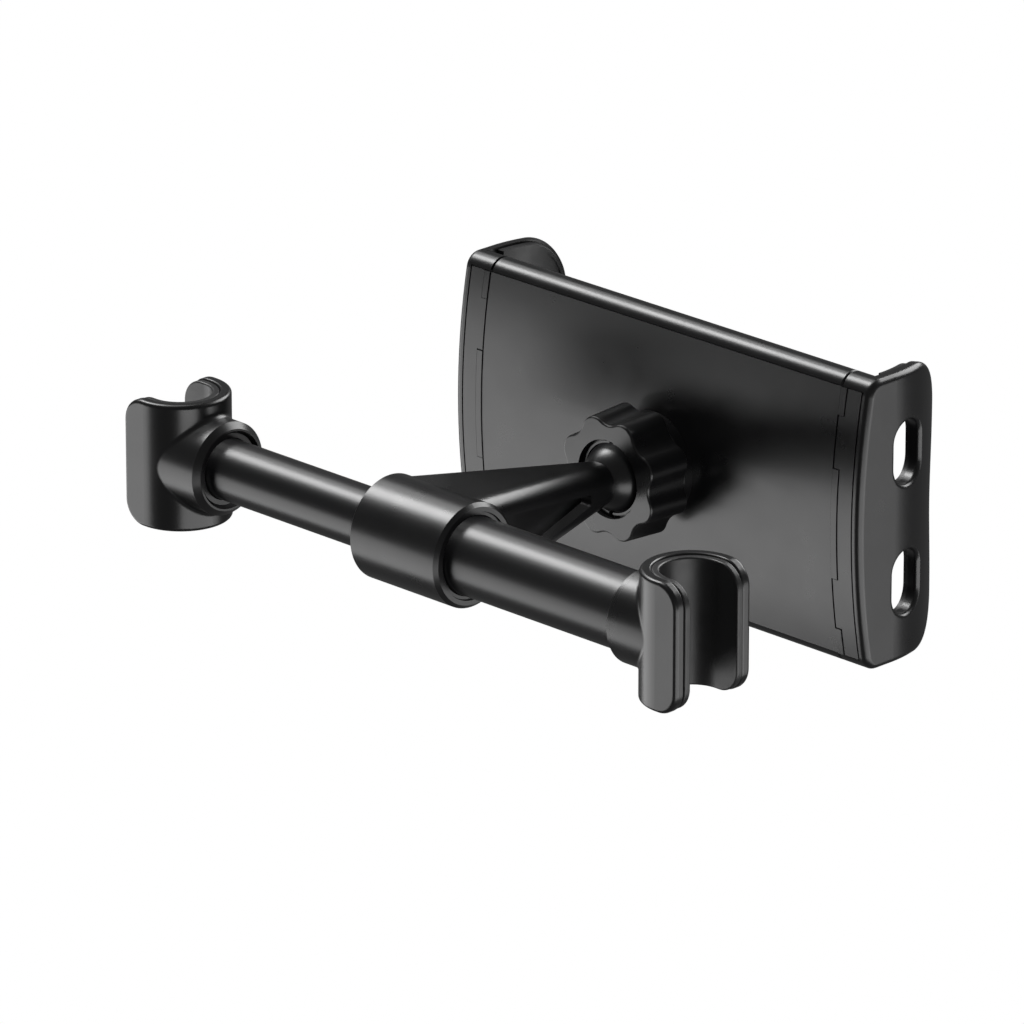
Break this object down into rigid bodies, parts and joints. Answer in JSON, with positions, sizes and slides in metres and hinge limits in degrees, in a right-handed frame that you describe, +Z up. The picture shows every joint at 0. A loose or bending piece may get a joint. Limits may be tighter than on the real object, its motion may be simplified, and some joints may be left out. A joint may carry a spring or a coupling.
{
  "type": "headrest phone holder",
  "caption": "Car headrest phone holder: telescopic rod with hooked ends between the headrest posts, swing arm with a ball joint and lobed clamp nut, and a sprung cradle with sliding jaws",
  "frame": {"origin": "midway between the two headrest posts, on the axis of the telescopic rod", "axes": "+X runs along the rod towards the side with the thicker tube, +Y points from the headrest to the phone, +Z is up along the headrest posts"},
  "size_m": [0.1784, 0.1142, 0.0702],
  "materials": {
    "black_plastic": "satin moulded black nylon",
    "black_tube": "satin black coated tube",
    "soft_rubber": "moulded black rubber",
    "slip_plastic": "plain black acetal",
    "steel_screw": "zinc plated",
    "spring_steel": "wound spring wire"
  },
  "bodies": {
    "rod_outer": {"outer_tube": "black_tube", "outer_tube_plug": "slip_plastic", "guide_bush": "slip_plastic", "right_hook": "black_plastic", "right_hook_liner": "soft_rubber", "right_hook_screw": "steel_screw"},
    "grip": {"lock_ring": "slip_plastic"},
    "rod_inner": {"inner_tube": "black_tube", "lock_cam": "slip_plastic", "reducer_bush": "slip_plastic", "left_hook_screw": "steel_screw"},
    "left_end": {"left_hook": "black_plastic", "left_hook_liner": "soft_rubber"},
    "arm": {"swing_arm": "black_plastic", "collar_bush_left": "slip_plastic", "collar_bush_right": "slip_plastic", "collar_cap": "slip_plastic"},
    "pan_shell": {"ball_cup": "slip_plastic"},
    "tilt_shell": {"ball_pad": "slip_plastic"},
    "cradle": {"ball_socket": "black_plastic", "socket_screws": "steel_screw", "front_housing": "black_plastic", "back_cover": "black_plastic", "front_pad": "soft_rubber", "cover_screws": "steel_screw", "left_springs": "spring_steel", "right_springs": "spring_steel"},
    "nut": {"clamp_nut": "black_plastic"},
    "left_clamp": {"left_jaw": "black_plastic", "left_jaw_panel": "black_plastic", "left_jaw_pad": "soft_rubber"},
    "right_clamp": {"right_jaw": "black_plastic", "right_jaw_panel": "black_plastic", "right_jaw_pad": "soft_rubber"}
  },
  "joints": [
    {"name": "rod_extend", "type": "slide", "parent": "rod_outer", "child": "grip", "axis": [-1, 0, 0], "range_m": [-0.03, 0.02]},
    {"name": "rod_twist_lock", "type": "hinge", "parent": "grip", "child": "rod_inner", "pos_m": [0.02, 0, 0], "axis": [1, 0, 0], "range_deg": [-60, 60]},
    {"name": "left_hook_swivel", "type": "hinge", "parent": "rod_inner", "child": "left_end", "pos_m": [-0.07, 0, 0], "axis": [1, 0, 0], "range_deg": [-90, 90]},
    {"name": "arm_tilt", "type": "hinge", "parent": "rod_outer", "child": "arm", "pos_m": [0, 0, 0], "axis": [1, 0, 0], "range_deg": [-90, 90]},
    {"name": "ball_pan", "type": "hinge", "parent": "arm", "child": "pan_shell", "pos_m": [0, 0.061, 0], "axis": [0, 0, 1], "range_deg": [-20, 20]},
    {"name": "ball_tilt", "type": "hinge", "parent": "pan_shell", "child": "tilt_shell", "pos_m": [0, 0.061, 0], "axis": [1, 0, 0], "range_deg": [-20, 20]},
    {"name": "ball_roll", "type": "hinge", "parent": "tilt_shell", "child": "cradle", "pos_m": [0, 0.061, 0], "axis": [0, 1, 0], "continuous": true},
    {"name": "clamp_nut_turn", "type": "hinge", "parent": "cradle", "child": "nut", "pos_m": [0, 0.061, 0], "axis": [0, -1, 0], "range_deg": [0, 360]},
    {"name": "left_jaw_slide", "type": "slide", "parent": "cradle", "child": "left_clamp", "axis": [-1, 0, 0], "range_m": [0, 0.038], "stiffness_N_per_m": 200, "springref_m": -0.02, "deforming": ["left_springs"]},
    {"name": "right_jaw_slide", "type": "slide", "parent": "cradle", "child": "right_clamp", "axis": [1, 0, 0], "range_m": [0, 0.038], "stiffness_N_per_m": 200, "springref_m": -0.02, "deforming": ["right_springs"]}
  ]
}
